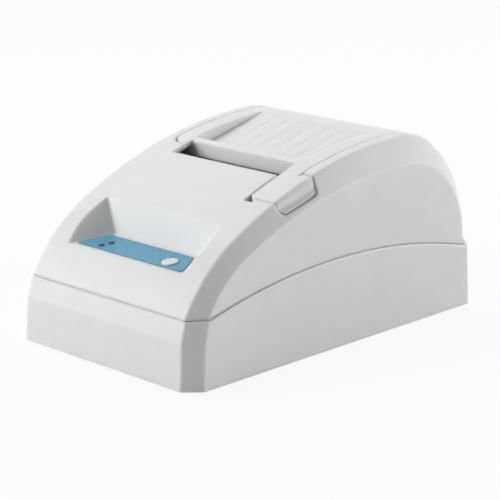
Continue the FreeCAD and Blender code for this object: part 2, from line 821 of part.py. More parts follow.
def coil(x):
    """A plain wound spring along Y between the chassis wall and the head."""
    helix = Part.makeHelix((spring_length - 2 * spring_wire) / spring_turns, spring_length - 2 * spring_wire,
                           spring_radius)
    ring = Part.Wire(Part.makeCircle(spring_wire, V(spring_radius, 0, 0), V(0, 1, 0)))
    wound = Part.Wire(helix).makePipeShell([ring], True, True)
    wound.rotate(V(0, 0, 0), V(1, 0, 0), -90)
    wound.translate(V(x, spring_start + spring_wire, spring_z))
    return wound


keep("head_springs", Part.makeCompound([coil(-spring_x), coil(spring_x)]))

# Tear bar: a toothed blade behind the slot's front edge, with a flange on the chassis
blade = 0.7
tooth_pitch = 2.0
tooth_height = 1.0
bar_half = frame_in - 2.0
tooth_count = int(2 * bar_half / tooth_pitch)
teeth_half = tooth_count * tooth_pitch / 2
blade_top = arch_height(slot_front) - 0.4
teeth = [(-teeth_half, frame_top)]
for k in range(tooth_count):
    x = -teeth_half + k * tooth_pitch
    teeth.append((x, blade_top - tooth_height))
    teeth.append((x + tooth_pitch / 2, blade_top))
teeth.append((teeth_half, blade_top - tooth_height))
teeth.append((teeth_half, frame_top))
tear_blade = slab_y(teeth, slot_front, slot_front + blade)
tear_flange = box(-teeth_half, teeth_half, frame_front, slot_front + blade, frame_top, frame_top + 0.8)
keep("tear_bar", joined(tear_blade, tear_flange))

# Stepper motor inside the chassis, its shaft through the right plate
flange = 0.8
can_end = frame_in - flange
can_start = can_end - motor_length
ear_reach = motor_radius + 1.5
ear_round = 1.8
motor = joined(
    rod_x(motor_radius, can_start, can_end, motor_y, motor_z),
    rod_x(motor_radius, can_end, frame_in, motor_y, motor_z),
    box(can_end, frame_in, motor_y - ear_reach, motor_y + ear_reach,
        motor_z - ear_round, motor_z + ear_round),
    rod_x(ear_round, can_end, frame_in, motor_y - ear_reach, motor_z),
    rod_x(ear_round, can_end, frame_in, motor_y + ear_reach, motor_z),
)
motor = motor.cut(rod_x(motor_shaft_radius + running_gap, can_start - 1.0, frame_in + 1.0, motor_y, motor_z))
motor_screws = []
for way in (-1, 1):
    y = motor_y + way * ear_reach
    motor_screws.append(joined(rod_x(1.3, can_end - 0.9, can_end, y, motor_z),
                               rod_x(0.8, can_end, frame_out, y, motor_z)))
    motor = motor.cut(rod_x(0.8, can_end - 1.0, frame_in + 1.0, y, motor_z))
    motor = motor.cut(rod_x(1.5, can_end - 1.4, can_end, y, motor_z))
    chassis = chassis.cut(rod_x(0.8, frame_in - 1.0, frame_out + 1.0, y, motor_z))
keep("mech_chassis", chassis)
keep("stepper_motor", motor)
keep("motor_screws", Part.makeCompound(motor_screws))
keep("motor_shaft", rod_x(motor_shaft_radius, can_start, gear_out, motor_y, motor_z))
axle = joined(
    rod_x(axle_radius, frame_in, gear_out + 0.8, idler_y, idler_z),
    rod_x(axle_radius + 1.0, frame_out, gear_in - 0.15, idler_y, idler_z),
    rod_x(axle_radius + 1.0, gear_out + 0.15, gear_out + 0.95, idler_y, idler_z),
)
keep("idler_axle", axle)

# Paper bucket with the two rails that carry it and the chassis
bucket_wall = 1.8
bucket_radius = roll_diameter / 2 + 1.5
bucket_front = motor_y + ear_reach + ear_round + loose_gap
bucket_y = bucket_front + bucket_wall + bucket_radius
bucket_z = seam_z - 6.0 + bucket_wall + bucket_radius
bucket_top = platen_z - platen_radius - 2.0
rail_thickness = 2.4
rail_low = rail_top - rail_thickness
rail_out = frame_out + tab_reach
rail_back_y = bucket_y + bucket_radius - 7.0


def trough(radius, half):
    return joined(rod_x(radius, -half, half, bucket_y, bucket_z),
                  box(-half, half, bucket_y - radius, bucket_y + radius, bucket_z, high_z))


bucket = trough(bucket_radius + bucket_wall, cheek_out).cut(trough(bucket_radius, bucket_half))
bucket = bucket.cut(box(-half_width, half_width, front, back, bucket_top, high_z))
rail = box(cheek_out, rail_out, frame_front - 1.0, rail_back_y + 5.0, rail_low, rail_top)
bucket = joined(bucket, *pair(rail))
for x in (-rail_screw_x, rail_screw_x):
    for y in (rail_front_y, rail_back_y):
        bucket = bucket.cut(rod_z(screw_radius, rail_low - 1.0, rail_top + 1.0, x, y))
keep("paper_bucket", bucket)
sensor_x = -roller_half * 0.4
keep("paper_sensor", box(sensor_x - 3.0, sensor_x + 3.0, bucket_front - 2.5, bucket_front,
                         bucket_top - 6.0, bucket_top - 1.0))


def screw(x, y, seat, depth, radius=screw_radius, head=head_radius, tall=head_height, up=1):
    """A cross-recess screw standing on seat; up is -1 for one driven from below."""
    if up > 0:
        body = joined(rod_z(head, seat, seat + tall, x, y), rod_z(radius, seat - depth, seat, x, y))
        slots = seat + tall
        low, high = slots - tall * 0.5, slots
    else:
        body = joined(rod_z(head, seat - tall, seat, x, y), rod_z(radius, seat, seat + depth, x, y))
        slots = seat - tall
        low, high = slots, slots + tall * 0.5
    reach = head * 0.62
    thin = head * 0.14
    body = body.cut(box(x - reach, x + reach, y - thin, y + thin, low, high))
    return body.cut(box(x - thin, x + thin, y - reach, y + reach, low, high))


rail_grip = 7.0
keep("chassis_screws", Part.makeCompound([
    screw(x, rail_front_y, foot_top, web + rail_thickness + rail_grip)
    for x in (-rail_screw_x, rail_screw_x)]))
keep("bucket_screws", Part.makeCompound([
    screw(x, rail_back_y, rail_top, rail_thickness + rail_grip)
    for x in (-rail_screw_x, rail_screw_x)]))
for x in (-rail_screw_x, rail_screw_x):
    for y in (rail_front_y, rail_back_y):
        tray = tray.fuse(rod_z(post_radius, floor_z - 0.5, rail_low, x, y))

# Control recess: overlay, button, lamps and their board, laid out level and then tilted with the floor
plate = 0.5
lip = recess_back - floor_reach
overlay_back = recess_back - overlay_margin
overlay_front = lip + overlay_margin
floor_under = recess_floor_height - wall
control_y = (overlay_front + overlay_back) / 2
button_x = 0.83 * recess_half_width
button_y = overlay_front + button_radius + loose_gap + 0.8
lamp_x = -0.7 * recess_half_width
lamp_pitch = 4.2
LAMPS = {
    "lamp_power": (lamp_x, control_y),
    "lamp_paper": (lamp_x - lamp_pitch / 2, control_y - lamp_pitch),
}
side_gap = 1.15


def tilted(shape):
    """Turned about the back edge of the recess floor, so that it falls to the front."""
    shape = shape.copy()
    shape.rotate(V(0, recess_back, recess_floor_height), V(1, 0, 0), recess_tilt)
    return shape


def overlay_half(y):
    """Half the overlay's width at a place on the level floor."""
    real_y = recess_back - (recess_back - y) * floor_along
    return recess_half(real_y, floor_level(real_y, 0.0)) - side_gap


overlay_wide = overlay_half(overlay_front)
overlay_narrow = overlay_half(overlay_back)
overlay = slab_z([
    (-overlay_narrow, overlay_back), (overlay_narrow, overlay_back),
    (overlay_wide, overlay_front), (-overlay_wide, overlay_front),
], recess_floor_height, recess_floor_height + plate)
overlay = softened(overlay, 1.2, lambda e: e.BoundBox.ZLength > plate / 2)
button_hole = rod_z(button_radius + loose_gap, floor_under - 1.0, recess_floor_height + 2.0,
                    button_x, button_y)
overlay = overlay.cut(button_hole)
shell = shell.cut(tilted(button_hole))
flange_radius = button_radius + 1.2
flange_room = rod_z(flange_radius + loose_gap, floor_under - 3.0, floor_under, button_x, button_y)
shell = shell.cut(tilted(flange_room))
lens_flange = 1.2
for name, (x, y) in LAMPS.items():
    lens = joined(rod_z(lens_radius, floor_under - lens_flange, recess_floor_height + plate + 0.2, x, y),
                  rod_z(lens_radius + 0.8, floor_under - lens_flange, floor_under, x, y))
    bore = rod_z(lens_radius, floor_under - 2.0, recess_floor_height + 2.0, x, y)
    overlay = overlay.cut(bore)
    shell = shell.cut(tilted(bore))
    keep(name, tilted(lens))
keep("control_overlay", tilted(overlay))
control_top = floor_under - 7.5
control_low = control_top - board_thickness
tact_height = 4.2
cap_top = recess_floor_height + plate + button_rise
cap = rod_z(button_radius, floor_under, cap_top, button_x, button_y)
cap = softened(cap, button_rise * 0.8, lambda e: e.BoundBox.ZMin > cap_top - 0.01)
stem_low = control_top + tact_height + button_travel + 0.1
button = joined(cap, rod_z(flange_radius, floor_under - 1.0, floor_under, button_x, button_y),
                rod_z(1.5, stem_low, floor_under, button_x, button_y))
keep("feed_button", tilted(button))
board_half = recess_half_width - 0.8
tact_half = 3.0
board_front = button_y - tact_half - 0.8
control_board = box(-board_half, board_half, board_front, recess_back - 3.0, control_low, control_top)
control_posts = [0.25 * recess_half_width, -0.42 * recess_half_width]
screws = []
for x in control_posts:
    post = rod_z(2.2, control_top, floor_under + 0.2, x, control_y)
    shell = shell.fuse(tilted(post))
    shell = shell.cut(tilted(rod_z(1.0, control_top, control_top + 5.0, x, control_y)))
    control_board = control_board.cut(rod_z(1.0, control_low - 1.0, control_top + 1.0, x, control_y))
    screws.append(screw(x, control_y, control_low, board_thickness + 4.5, 1.0, 1.9, 1.2, -1))
shell = shell.removeSplitter()
keep("control_board", tilted(control_board))
keep("control_screws", tilted(Part.makeCompound(screws)))
tact = joined(
    box(button_x - tact_half, button_x + tact_half, button_y - tact_half, button_y + tact_half,
        control_top, control_top + tact_height - 0.7),
    rod_z(1.7, control_top, control_top + tact_height, button_x, button_y),
)
keep("tact_switch", tilted(tact))
keep("upper_shell", shell)

# Main board and the ports in the back bay
bay_face = back - bay_depth - 1.0
bay_inner = bay_face - wall
bay_low = floor_z + 3.8
bay_high = seam_z - 4.5
bay_out = bay_half_width + wall
bay_block = box(-bay_out, bay_out, bay_inner, back + 1.0, bay_low - wall, bay_high + wall)
tray = tray.fuse(bay_block.common(tub_body))
tray = tray.cut(box(-bay_half_width, bay_half_width, bay_face, back + 1.0, bay_low, bay_high))
board_low = floor_z + 4.8
board_top = board_low + board_thickness
board_back = bay_inner - 0.3
board_start = rail_back_y + post_radius + 2.0
main_half = bay_half_width - 2.0
main_board = box(-main_half, main_half, board_start, board_back, board_low, board_top)
screws = []
for x in (-main_half + 3.2, main_half - 3.2):
    for y in (board_start + 3.5, board_back - 4.0):
        tray = tray.fuse(rod_z(2.8, floor_z - 0.5, board_low, x, y))
        tray = tray.cut(rod_z(1.0, floor_z, board_low + 1.0, x, y))
        main_board = main_board.cut(rod_z(1.0, board_low - 1.0, board_top + 1.0, x, y))
        screws.append(screw(x, y, board_top, board_thickness + 3.5, 1.0, 1.9, 1.2))
keep("board_screws", Part.makeCompound(screws))
port_face = bay_face + 0.6
port_deep = 16.0
chip_y = port_face - port_deep - free_gap - 7.0
keep("board_chips", Part.makeCompound([
    box(-9.0, 3.0, chip_y - 5.0, chip_y + 7.0, board_top, board_top + 1.4),
    box(8.0, 14.0, chip_y - 2.0, chip_y + 3.0, board_top, board_top + 1.6),
    box(18.0, 25.0, chip_y - 5.0, chip_y + 1.0, board_top, board_top + 2.2),
]))
keep("board_capacitors", Part.makeCompound([
    rod_z(4.0, board_top, board_top + 10.0, -18.0, chip_y),
    rod_z(4.0, board_top, board_top + 10.0, -27.5, chip_y),
]))
port_gap = 0.25


def port_block(x, half, tall, deep):
    return box(x - half, x + half, port_face - deep, port_face, board_top, board_top + tall)


def port_hole(x, half, tall):
    return box(x - half - port_gap, x + half + port_gap, bay_inner - 1.0, back, board_top - port_gap,
               board_top + tall + port_gap)


socket_deep = 9.5
usb_x = 8.5
usb_half = 6.0
usb_tall = 11.0
usb_mid = board_top + usb_tall / 2
usb = port_block(usb_x, usb_half, usb_tall, port_deep)
usb_way = slab_y([
    (usb_x - 4.25, usb_mid - 3.9), (usb_x + 4.25, usb_mid - 3.9), (usb_x + 4.25, usb_mid + 2.0),
    (usb_x + 2.4, usb_mid + 3.9), (usb_x - 2.4, usb_mid + 3.9), (usb_x - 4.25, usb_mid + 2.0),
], port_face - socket_deep, port_face + 1.0)
keep("data_port", usb.cut(usb_way))
keep("data_tongue", box(usb_x - 2.8, usb_x + 2.8, port_face - socket_deep, port_face - 1.0,
                        usb_mid - 1.5, usb_mid + 1.5))
drawer_x = -9.0
drawer_half = 6.5
drawer_tall = 13.0
drawer = port_block(drawer_x, drawer_half, drawer_tall, port_deep - 2.0)
drawer_low = board_top + 2.6
drawer_end = port_face - 10.5
drawer_high = drawer_low + 7.2
drawer_way = box(drawer_x - 4.9, drawer_x + 4.9, drawer_end, port_face + 1.0, drawer_low, drawer_high)
drawer_key = box(drawer_x - 2.0, drawer_x + 2.0, drawer_end, port_face + 1.0, drawer_low - 1.6, drawer_low)
keep("drawer_port", without(drawer, drawer_way, drawer_key))
contacts = []
for k in range(6):
    x = drawer_x + (k - 2.5) * 1.2
    contacts.append(slab_x([
        (port_face - 2.0, drawer_high), (drawer_end, drawer_high - 1.8),
        (drawer_end, drawer_high - 1.3), (port_face - 4.4, drawer_high),
    ], x - 0.2, x + 0.2))
keep("drawer_contacts", Part.makeCompound(contacts))
jack_x = -27.0
jack_half = 4.5
jack_tall = 11.0
jack_z = board_top + 6.2
jack = port_block(jack_x, jack_half, jack_tall, port_deep - 2.0)
keep("power_jack", jack.cut(rod_y(2.95, port_face - socket_deep, port_face + 1.0, jack_x, jack_z)))
jack_pin = rod_y(1.05, port_face - socket_deep, port_face - 1.0, jack_x, jack_z)
keep("power_pin", softened(jack_pin, 0.5, lambda e: e.BoundBox.YMin > port_face - 1.1))
tray = without(tray, port_hole(usb_x, usb_half, usb_tall), port_hole(drawer_x, drawer_half, drawer_tall),
               port_hole(jack_x, jack_half, jack_tall))

# Power switch: a rocker on two trunnions in a panel housing
switch_x = 28.0
switch_z = (bay_low + bay_high) / 2
rocker_half = 3.7
pocket_half = rocker_half + loose_gap
housing_half = pocket_half + 1.3
pocket_tall = 7.4
bezel = 1.4
pivot_in = 0.8
rocker_y = bay_face - pivot_in
body_deep = 12.0
housing = joined(
    box(switch_x - housing_half - 0.9, switch_x + housing_half + 0.9, bay_face, bay_face + bezel,
        switch_z - pocket_tall - 1.6, switch_z + pocket_tall + 1.6),
    box(switch_x - housing_half, switch_x + housing_half, bay_face - body_deep, bay_face,
        switch_z - pocket_tall - 0.8, switch_z + pocket_tall + 0.8),
)
housing = housing.cut(box(switch_x - pocket_half, switch_x + pocket_half, rocker_y - 5.5, back,
                          switch_z - pocket_tall, switch_z + pocket_tall))
trunnion = 1.0
trunnion_reach = pocket_half + 0.8
housing = housing.cut(rod_x(trunnion + running_gap, switch_x - trunnion_reach - 0.1,
                            switch_x + trunnion_reach + 0.1, rocker_y, switch_z))
keep("switch_housing", housing)
tray = tray.cut(box(switch_x - housing_half, switch_x + housing_half, bay_inner - 1.0, bay_face,
                    switch_z - pocket_tall - 0.8, switch_z + pocket_tall + 0.8))
main_board = main_board.cut(box(switch_x - housing_half - free_gap, switch_x + housing_half + free_gap,
                                bay_face - body_deep - free_gap, board_back + 1.0,
                                board_low - 1.0, board_top + 1.0))
keep("main_board", main_board)
rocker = slab_x([
    (rocker_y - 2.6, switch_z - 2.8), (rocker_y - 2.6, switch_z + 2.8), (rocker_y + 0.8, switch_z + 6.2),
    (rocker_y + 3.0, switch_z + 6.2), (rocker_y + 2.2, switch_z), (rocker_y + 3.0, switch_z - 6.2),
    (rocker_y + 0.8, switch_z - 6.2),
], switch_x - rocker_half, switch_x + rocker_half)
rocker = joined(rocker, rod_x(trunnion, switch_x - trunnion_reach, switch_x + trunnion_reach,
                              rocker_y, switch_z))
rocker.rotate(V(0, rocker_y, switch_z), V(1, 0, 0), rocker_throw)
keep("power_rocker", rocker)

# Casing screws and feet
feet = []
screws = []
for x0, y in CASE_SPOTS:
    for x in (-x0, x0):
        tray = tray.fuse(rod_z(post_radius, floor_z - 0.5, case_meet_z, x, y).common(tub_outer))
        tray = tray.cut(rod_z(head_radius + 0.4, 0.0, case_seat_z, x, y))
        tray = tray.cut(rod_z(screw_radius, case_seat_z - 1.0, case_meet_z + 1.0, x, y))
        screws.append(screw(x, y, case_seat_z, case_meet_z - case_seat_z + 10.0, up=-1))
for x0, y in FOOT_SPOTS:
    for x in (-x0, x0):
        pad = rod_z(foot_radius, 0.0, bottom + foot_seat, x, y)
        tray = tray.cut(rod_z(foot_radius, 0.0, bottom + foot_seat, x, y))
        feet.append(softened(pad, 0.4, lambda e: e.BoundBox.ZMax < 0.01))
for x in (-rail_screw_x, rail_screw_x):
    for y in (rail_front_y, rail_back_y):
        tray = tray.cut(rod_z(screw_radius, rail_low - rail_grip - 0.5, rail_low + 1.0, x, y))
keep("rubber_feet", Part.makeCompound(feet))
keep("case_screws", Part.makeCompound(screws))
keep("base_tray", tray.removeSplitter())

os.makedirs("parts", exist_ok=True)
for name, shape in NODES.items():
    shape.exportStep("parts/" + name + ".step")
    print(name, "solids", len(shape.Solids), "closed", shape.isValid(), "mm3", round(shape.Volume, 1))
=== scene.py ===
# %% [markdown]
# # A desktop receipt printer, dressed for a studio picture
#
# The solids of this printer are already made and packed: an arched casing, a ribbed paper lid,
# the print mechanism and the ports. This lesson loads them as a fixed frame and gives each piece
# the finish of the real one. A model like this could be sculpted from nothing in Blender, but
# moulded parts have exact walls, gaps and hinges, so it is safer to keep the solids and spend
# the time on surfaces, light and small dress pieces.

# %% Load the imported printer
import json
import math

import bmesh
import bpy
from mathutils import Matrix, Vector


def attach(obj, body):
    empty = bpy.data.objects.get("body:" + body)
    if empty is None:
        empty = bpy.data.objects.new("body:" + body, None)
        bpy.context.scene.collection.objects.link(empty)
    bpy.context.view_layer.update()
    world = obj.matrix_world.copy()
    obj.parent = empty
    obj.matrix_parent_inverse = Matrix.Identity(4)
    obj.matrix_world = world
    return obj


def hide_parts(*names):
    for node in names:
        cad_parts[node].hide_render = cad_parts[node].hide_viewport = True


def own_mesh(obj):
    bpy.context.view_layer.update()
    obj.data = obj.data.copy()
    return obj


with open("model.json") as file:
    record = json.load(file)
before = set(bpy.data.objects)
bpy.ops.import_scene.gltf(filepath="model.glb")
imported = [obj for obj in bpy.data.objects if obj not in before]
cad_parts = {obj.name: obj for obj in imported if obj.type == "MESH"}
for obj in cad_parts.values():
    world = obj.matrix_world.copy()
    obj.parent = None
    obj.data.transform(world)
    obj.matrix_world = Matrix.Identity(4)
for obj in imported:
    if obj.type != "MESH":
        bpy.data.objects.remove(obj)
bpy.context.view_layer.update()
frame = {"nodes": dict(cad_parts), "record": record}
nodes = frame["nodes"]

# %% [markdown]
# ## The camera
#
# The picture was taken from the front right, a little above the printer, with a long lens: its
# upright edges hardly lean. A wide lens close by would show as much of the printer, but with a
# stronger perspective. The place and lens here come from lining up the casing's corners, and
# the small shift centres it in the square frame.

# %% Place the camera
aim = Vector((0.0, -0.0035, 0.0378))
camera_data = bpy.data.cameras.new("studio_camera")
camera_data.sensor_width = 36.0
camera_data.lens = 136.38
camera_data.shift_x = 0.0032
camera_data.shift_y = -0.0075
camera = bpy.data.objects.new("studio_camera", camera_data)
camera.location = (0.6045, -0.6194, 0.2756)
camera.rotation_euler = (aim - camera.location).to_track_quat("-Z", "Y").to_euler()
bpy.context.scene.collection.objects.link(camera)
bpy.context.scene.camera = camera
print("camera to printer", round((aim - camera.location).length, 3), "m")

# %% [markdown]
# ## The lamps
#
# Pale plastic shows its form only through small differences in light, so the lamps are wide and
# soft. Three stand on the left at different heights and light the front and the top. Two behind
# light the lid and the long wall on the right, so the corner between front and wall stays the
# darkest plane. Each lamp's power was weighed by lighting the printer with that lamp alone and
# adding the pictures up, and kept low enough that no wall turns plain white.

# %% Soft lamps
printer_middle = Vector((0.0, 0.0, 0.04))
wide_box, low_box = (1.0, 1.0), (0.8, 0.4)


def softbox(name, place, size, power):
    """A rectangular area lamp at place, in metres and watts, turned towards the printer."""
    data = bpy.data.lights.new(name, "AREA")
    data.shape = "RECTANGLE"
    data.size, data.size_y = size
    data.energy = power
    lamp = bpy.data.objects.new(name, data)
    lamp.location = place
    way = printer_middle - Vector(place)
    lamp.rotation_euler = way.to_track_quat("-Z", "Y").to_euler()
    bpy.context.scene.collection.objects.link(lamp)
    return lamp


lamps = [
    softbox("top_left_softbox", (-0.8, 0.2, 1.3), wide_box, 8.8),
    softbox("front_left_softbox", (-0.95, -1.1, 0.8), wide_box, 16.0),
    softbox("low_front_softbox", (-0.9, -1.0, 0.25), low_box, 3.6),
    softbox("back_right_softbox", (1.3, 0.9, 0.6), wide_box, 15.2),
    softbox("back_softbox", (0.0, 1.5, 0.9), wide_box, 8.5),
]
print("lamps", [lamp.name for lamp in lamps])

# %% [markdown]
# ## A white room
#
# The room is plain white to the eye but gives the printer hardly any light. More light would
# also make a white room, and would bleach the plastic. The Light Path node tells what the camera
# sees, straight or in a mirror or glass, from light that only scatters, so the two can differ.


# %% Tell seen light from scattered light
def node_tree(owner):
    """The owner's node tree, emptied."""
    owner.use_nodes = True
    owner.node_tree.nodes.clear()
    return owner.node_tree


def larger(tree, first, second):
    """The larger of two values."""
    node = tree.nodes.new("ShaderNodeMath")
    node.operation = "MAXIMUM"
    tree.links.new(first, node.inputs[0])
    tree.links.new(second, node.inputs[1])
    return node.outputs[0]


def seen_directly(tree):
    """1 where the camera looks, straight or through a mirror or glass; 0 for scattered light."""
    path = tree.nodes.new("ShaderNodeLightPath").outputs
    sharp = larger(tree, path["Is Camera Ray"], path["Is Glossy Ray"])
    return larger(tree, sharp, path["Is Transmission Ray"])


def mix_into(tree, factor, scattered, seen, output):
    """Links the scattered shader to the output, and the seen one where factor is 1."""
    mix = tree.nodes.new("ShaderNodeMixShader")
    tree.links.new(factor, mix.inputs[0])
    tree.links.new(scattered.outputs[0], mix.inputs[1])
    tree.links.new(seen.outputs[0], mix.inputs[2])
    tree.links.new(mix.outputs[0], tree.nodes.new(output).inputs["Surface"])


print("light path helpers ready")

# %% World
world = bpy.data.worlds.new("studio_room")
bpy.context.scene.world = world
bpy.context.scene.view_settings.view_transform = "Standard"
tree = node_tree(world)
ambient = tree.nodes.new("ShaderNodeBackground")
ambient.inputs["Color"].default_value = (0.9, 0.97, 1.0, 1.0)
ambient.inputs["Strength"].default_value = 0.01
white = tree.nodes.new("ShaderNodeBackground")
white.inputs["Color"].default_value = (1.0, 1.0, 1.0, 1.0)
white.inputs["Strength"].default_value = 1.0
mix_into(tree, seen_directly(tree), ambient, white, "ShaderNodeOutputWorld")
print("world", world.name)

# %% [markdown]
# ## A pale floor
#
# The floor is one plain sheet, far wider than the picture. A curved backdrop would hide the
# horizon as well, but the white room already does. Most of what the camera sees of the sheet is
# an even white, and the rest is the lit sheet, so the printer's shadow stays.

# %% Floor sheet
floor_reach = 6.0
floor_z = -0.0001
corners = ((-1, -1), (1, -1), (1, 1), (-1, 1))
floor_mesh = bpy.data.meshes.new("studio_floor")
floor_mesh.from_pydata(
    [(x * floor_reach, y * floor_reach, floor_z) for x, y in corners], [], [(0, 1, 2, 3)])
floor = bpy.data.objects.new("studio_floor", floor_mesh)
bpy.context.scene.collection.objects.link(floor)
print("floor", floor.name, "reaches", floor_reach, "m each way")

# %% Floor finish
white_share = 0.9
sheet = bpy.data.materials.new("pale_sheet")
tree = node_tree(sheet)
lit = tree.nodes.new("ShaderNodeBsdfDiffuse")
lit.inputs["Color"].default_value = (0.9, 0.9, 0.9, 1.0)
glow = tree.nodes.new("ShaderNodeEmission")
glow.inputs["Strength"].default_value = 1.0
share = tree.nodes.new("ShaderNodeMath")
share.operation = "MULTIPLY"
share.inputs[1].default_value = white_share
tree.links.new(seen_directly(tree), share.inputs[0])
mix_into(tree, share.outputs[0], lit, glow, "ShaderNodeOutputMaterial")
floor_mesh.materials.append(sheet)
print("floor finish", sheet.name)

# %% [markdown]
# ## Building a finish
#
# Every finish here is one Principled shader with patterns on its sockets. The nodes could be
# wired by hand for each material, but fifteen materials need the same few moves, so a small class
# holds them: first the shader and its sockets, then patterns, then edges and relief. What is the
# same all over a piece is set on the shader's own socket, with no node before it.


# %% A shader and its sockets
class BareFinish:
    """A material under construction: one Principled shader and the nodes that feed it."""

    def __init__(self, name):
        self.material = bpy.data.materials.new(name + "_finish")
        self.tree = node_tree(self.material)
        self.shader = self.tree.nodes.new("ShaderNodeBsdfPrincipled")
        out = self.tree.nodes.new("ShaderNodeOutputMaterial")
        self.tree.links.new(self.shader.outputs[0], out.inputs["Surface"])
        self.coords = self.tree.nodes.new("ShaderNodeTexCoord").outputs["Object"]

    def set(self, **sockets):
        """Plain values on the shader's own sockets."""
        for socket, value in sockets.items():
            self.shader.inputs[socket.replace("_", " ")].default_value = value

    def link(self, source, target):
        self.tree.links.new(source, target)

    def colour(self, source):
        self.link(source, self.shader.inputs["Base Color"])

    def rough(self, source):
        self.link(source, self.shader.inputs["Roughness"])


print("a finish starts as one Principled shader")

# %% [markdown]
# ## Patterns in true size
#
# Moulding grain, scratches and slow changes of tone are all noise at some size. A picture texture
# could give them, but noise in object coordinates keeps its size in millimetres on every face and
# needs no unwrapping. Stretched one way, the same noise becomes scratches. In the recipes further
# on, the first number given to noise is that size.


# %% Patterns
MM = 0.001


class PatternedFinish(BareFinish):
    """A finish with grey patterns, their ranges and the colours between them."""

    def noise(self, size_mm, detail=2.0, stretch=(1, 1, 1)):
        """Grey noise whose blotches are about size_mm across, drawn out by stretch."""
        mapping = self.tree.nodes.new("ShaderNodeMapping")
        mapping.inputs["Scale"].default_value = [1 / s for s in stretch]
        self.link(self.coords, mapping.inputs["Vector"])
        node = self.tree.nodes.new("ShaderNodeTexNoise")
        node.inputs["Scale"].default_value = 1 / (size_mm * MM)
        node.inputs["Detail"].default_value = detail
        self.link(mapping.outputs[0], node.inputs["Vector"])
        return node.outputs["Fac"]

    def spread(self, source, low, high, start=0.3, end=0.7):
        """Turns a grey pattern into the range low to high."""
        node = self.tree.nodes.new("ShaderNodeMapRange")
        ends = {"From Min": start, "From Max": end, "To Min": low, "To Max": high}
        for socket, value in ends.items():
            node.inputs[socket].default_value = value
        self.link(source, node.inputs["Value"])
        return node.outputs[0]

    def blend(self, factor, first, second):
        """A colour between two, by a grey pattern; either may be another pattern's output."""
        node = self.tree.nodes.new("ShaderNodeMix")
        node.data_type = "RGBA"
        self.link(factor, node.inputs["Factor"])
        for colour, socket in ((first, node.inputs["A"]), (second, node.inputs["B"])):
            if isinstance(colour, bpy.types.NodeSocket):
                self.link(colour, socket)
            else:
                socket.default_value = (*colour, 1.0)
        return node.outputs["Result"]


def shade(colour, factor):
    """The colour, lighter or darker by a factor."""
    return tuple(min(1.0, c * factor) for c in colour)


print("patterns: noise, spread, blend")

# %% [markdown]
# ## Edges and relief
#
# Moulded edges are a little round and get rubbed by hands. Real bevels on the solids would change
# their measured shapes, so a Bevel node rounds only the light on them. Where its normal leaves
# the face's own normal, there is an edge, and that difference also masks where edges are painted
# lighter: partly wear, partly a painted highlight.


# %% Edges and relief
class Finish(PatternedFinish):
    """A finish with an edge mask for wear and painted highlights, and fine relief."""

    OPEN_FACE = 0.998  # normals that agree this well lie on an open face
    MASK_SAMPLES, ROUND_SAMPLES = 4, 8

    def bevel(self, width_mm, samples):
        """The surface's normal, with edges rounded by width_mm."""
        node = self.tree.nodes.new("ShaderNodeBevel")
        node.samples = samples
        node.inputs["Radius"].default_value = width_mm * MM
        return node.outputs[0]

    def edges(self, width_mm, sharp=0.75):
        """Near 1 within width_mm of a sharp edge, 0 on open faces; a higher sharp adds soft ones."""
        flat = self.tree.nodes.new("ShaderNodeNewGeometry")
        dot = self.tree.nodes.new("ShaderNodeVectorMath")
        dot.operation = "DOT_PRODUCT"
        self.link(self.bevel(width_mm, self.MASK_SAMPLES), dot.inputs[0])
        self.link(flat.outputs["Normal"], dot.inputs[1])
        return self.spread(dot.outputs["Value"], 1.0, 0.0, sharp, self.OPEN_FACE)

    def bump(self, source, height_mm, round_mm=0.0):
        """Relief of height_mm from a pattern, on edges that look rounded by round_mm."""
        node = self.tree.nodes.new("ShaderNodeBump")
        node.inputs["Distance"].default_value = height_mm * MM
        self.link(source, node.inputs["Height"])
        if round_mm:
            self.link(self.bevel(round_mm, self.ROUND_SAMPLES), node.inputs["Normal"])
        self.link(node.outputs[0], self.shader.inputs["Normal"])


print("edges and relief ready")

# %% [markdown]
# ## Moulded plastic
#
# The casing is injection moulded in a pale grey plastic. The mould is spark eroded, so the skin has
# a fine grain a fraction of a millimetre across, and the gloss varies slowly where the plastic
# cooled at different rates. Pale plastic also lets a little light through: it comes out again a
# few millimetres further on, so edges and narrow seams look soft and never quite black. A lighter
# colour could soften them too, but would flatten the faces, so the shader's subsurface sockets do it.


# %% Moulded plastic
def moulded_plastic(name, colour, gloss=0.45, grain_height=0.012, worn=1.06, edge_mm=0.3,
                    glow_mm=0.0):
    """Textured moulded plastic: slow mottling, fine grain, edges lighter as wear and painted
    highlight.
    """
    f = Finish(name)
    slow = f.spread(f.noise(14.0), 0.0, 1.0)
    mottled = f.blend(slow, shade(colour, 0.985), shade(colour, 1.012))
    # Edges lighter in colour: partly rubbed wear, partly a painted highlight.
    f.colour(f.blend(f.edges(0.5, 0.96), mottled, shade(colour, worn)))
    f.rough(f.spread(f.noise(5.0, 4.0), gloss - 0.05, gloss + 0.07))
    f.bump(f.noise(0.35, 3.0), grain_height, edge_mm)
    f.set(Specular_IOR_Level=0.4)
    if glow_mm:
        f.set(Subsurface_Weight=0.8, Subsurface_Radius=(1.0, 1.0, 1.0),
              Subsurface_Scale=glow_mm * MM)
    return f.material


pale_grey = (0.80, 0.803, 0.80)
case_grey = moulded_plastic("case_grey", pale_grey, worn=1.12, edge_mm=2.0, glow_mm=1.8)
lid_grey = moulded_plastic("lid_grey", pale_grey, gloss=0.48, worn=1.12, edge_mm=1.6, glow_mm=1.8)
black_plastic = moulded_plastic("black_plastic", (0.028, 0.029, 0.032), gloss=0.42, worn=2.2)
gear_nylon = moulded_plastic("gear_nylon", (0.82, 0.79, 0.68), gloss=0.38, grain_height=0.004)
plastics = [case_grey, lid_grey, black_plastic, gear_nylon]
print("plastics", [m.name for m in plastics])

